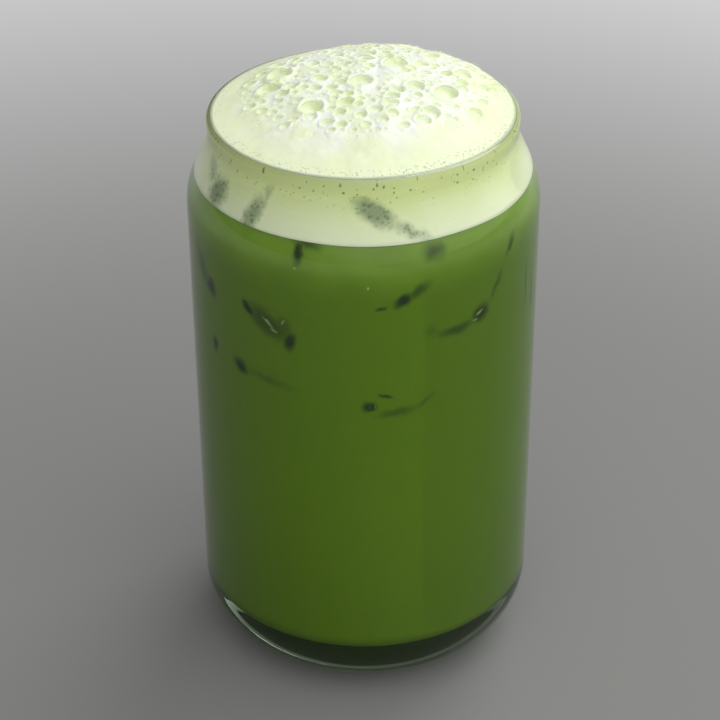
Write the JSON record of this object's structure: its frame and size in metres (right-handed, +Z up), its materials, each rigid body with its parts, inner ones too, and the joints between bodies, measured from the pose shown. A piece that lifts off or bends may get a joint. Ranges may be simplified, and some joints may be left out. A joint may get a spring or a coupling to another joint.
{
  "type": "iced matcha latte in a glass",
  "caption": "Iced green tea latte with a domed layer of milk foam and large bubbles, in a can-shaped clear glass.",
  "frame": {"origin": "centre of the circle that the glass stands on", "axes": "+Z up the axis of the glass, -Y towards the viewer, +X to the viewer's right"},
  "size_m": [0.078, 0.078, 0.1427],
  "materials": {
    "clear_glass": "smooth and polished, thick clear base",
    "green_milk_tea": "opaque milky green liquid, wet against the glass, with soft dark marks where ice lies near the wall",
    "milk_foam": "pale yellow-green microfoam with thin-walled large bubbles on top"
  },
  "bodies": {
    "root": {"glass": "clear_glass", "drink": "green_milk_tea", "foam": "milk_foam"}
  },
  "joints": []
}
